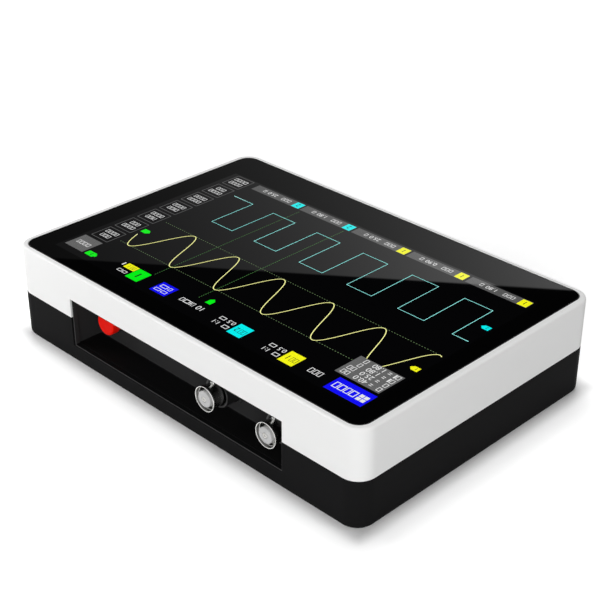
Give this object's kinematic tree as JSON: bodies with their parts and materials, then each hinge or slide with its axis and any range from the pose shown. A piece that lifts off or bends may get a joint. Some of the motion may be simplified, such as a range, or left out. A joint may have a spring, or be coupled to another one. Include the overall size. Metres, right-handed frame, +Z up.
{
  "type": "tablet oscilloscope",
  "caption": "Flat tablet oscilloscope: white and black shells, full glass front, recessed bay with coaxial input jacks, charging socket and red power button, fold-out stand below.",
  "frame": {"origin": "middle of the plane that the four feet rest on", "axes": "+X along the long side, in the reading direction of the screen; +Y towards the side with the connector bay; +Z up, out of the screen"},
  "size_m": [0.177, 0.12, 0.038],
  "materials": {
    "battery_foil": "foil pouch",
    "bay_liner": "fine-textured moulded, black",
    "black_casing": "fine-textured moulded, black",
    "black_moulding": "moulded, black",
    "board_laminate": "green solder mask",
    "bonding_tape": "black foam tape",
    "capacitor_can": "drawn can",
    "chip_case": "moulded epoxy",
    "contact_brass": "gold plate",
    "display_cell": "polished",
    "display_steel": "plain sheet",
    "flex_film": "amber film",
    "foot_rubber": "matt",
    "jack_core": "white, smooth",
    "jack_nickel": "nickel plate, bright",
    "lamp_lens": "diffused lens",
    "lead_rubber": "red and black twin lead",
    "light_guide": "clear sheets, white backed",
    "pale_moulding": "moulded, ivory",
    "pin_steel": "ground",
    "port_steel": "bright drawn sheet",
    "red_button": "smooth, red",
    "relay_case": "moulded, off-white",
    "screen_glass": "polished, black behind the glass",
    "screw_steel": "blackened zinc",
    "shield_tin": "tin plate",
    "switch_case": "moulded",
    "switch_stem": "moulded, off-white",
    "white_casing": "satin moulded, white"
  },
  "bodies": {
    "casing": {"backlight": "light_guide", "battery_lead": "lead_rubber", "battery_pack": "battery_foil", "battery_plug": "pale_moulding", "battery_socket": "pale_moulding", "battery_tape": "bonding_tape", "board_screws": "screw_steel", "capacitors": "capacitor_can", "card_socket": "shield_tin", "case_screws": "screw_steel", "charge_lamp": "lamp_lens", "connector_bay": "bay_liner", "converters": "chip_case", "cover_glass": "screen_glass", "crystal": "shield_tin", "display_flex": "flex_film", "display_socket": "pale_moulding", "foot_1": "foot_rubber", "foot_2": "foot_rubber", "foot_3": "foot_rubber", "foot_4": "foot_rubber", "glass_tape": "bonding_tape", "inductors": "chip_case", "input_relays": "relay_case", "input_shield_1": "shield_tin", "input_shield_2": "shield_tin", "jack_1_barrel": "jack_nickel", "jack_1_contact": "contact_brass", "jack_1_housing": "black_moulding", "jack_1_insulator": "jack_core", "jack_2_barrel": "jack_nickel", "jack_2_contact": "contact_brass", "jack_2_housing": "black_moulding", "jack_2_insulator": "jack_core", "lcd_bezel": "display_steel", "lcd_panel": "display_cell", "logic_array": "chip_case", "lower_shell": "black_casing", "main_board": "board_laminate", "memory_card": "black_moulding", "memory_chip": "chip_case", "port_board": "board_laminate", "port_header": "black_moulding", "power_switch": "switch_case", "processor": "chip_case", "stand_pins": "pin_steel", "touch_flex": "flex_film", "touch_socket": "pale_moulding", "upper_shell": "white_casing", "usb_shell": "port_steel", "usb_tongue": "black_moulding"},
    "button": {"power_button": "red_button", "power_switch_stem": "switch_stem"},
    "stand": {"stand": "black_casing"}
  },
  "joints": [
    {"name": "power_press", "type": "slide", "parent": "casing", "child": "button", "axis": [0, -1, 0], "range_m": [0, 0.0008], "stiffness_N_per_m": 1200, "springref_m": -0.0005},
    {"name": "stand_fold", "type": "hinge", "parent": "casing", "child": "stand", "pos_m": [0, 0.031, 0.0031], "axis": [1, 0, 0], "range_deg": [0, 60]}
  ]
}
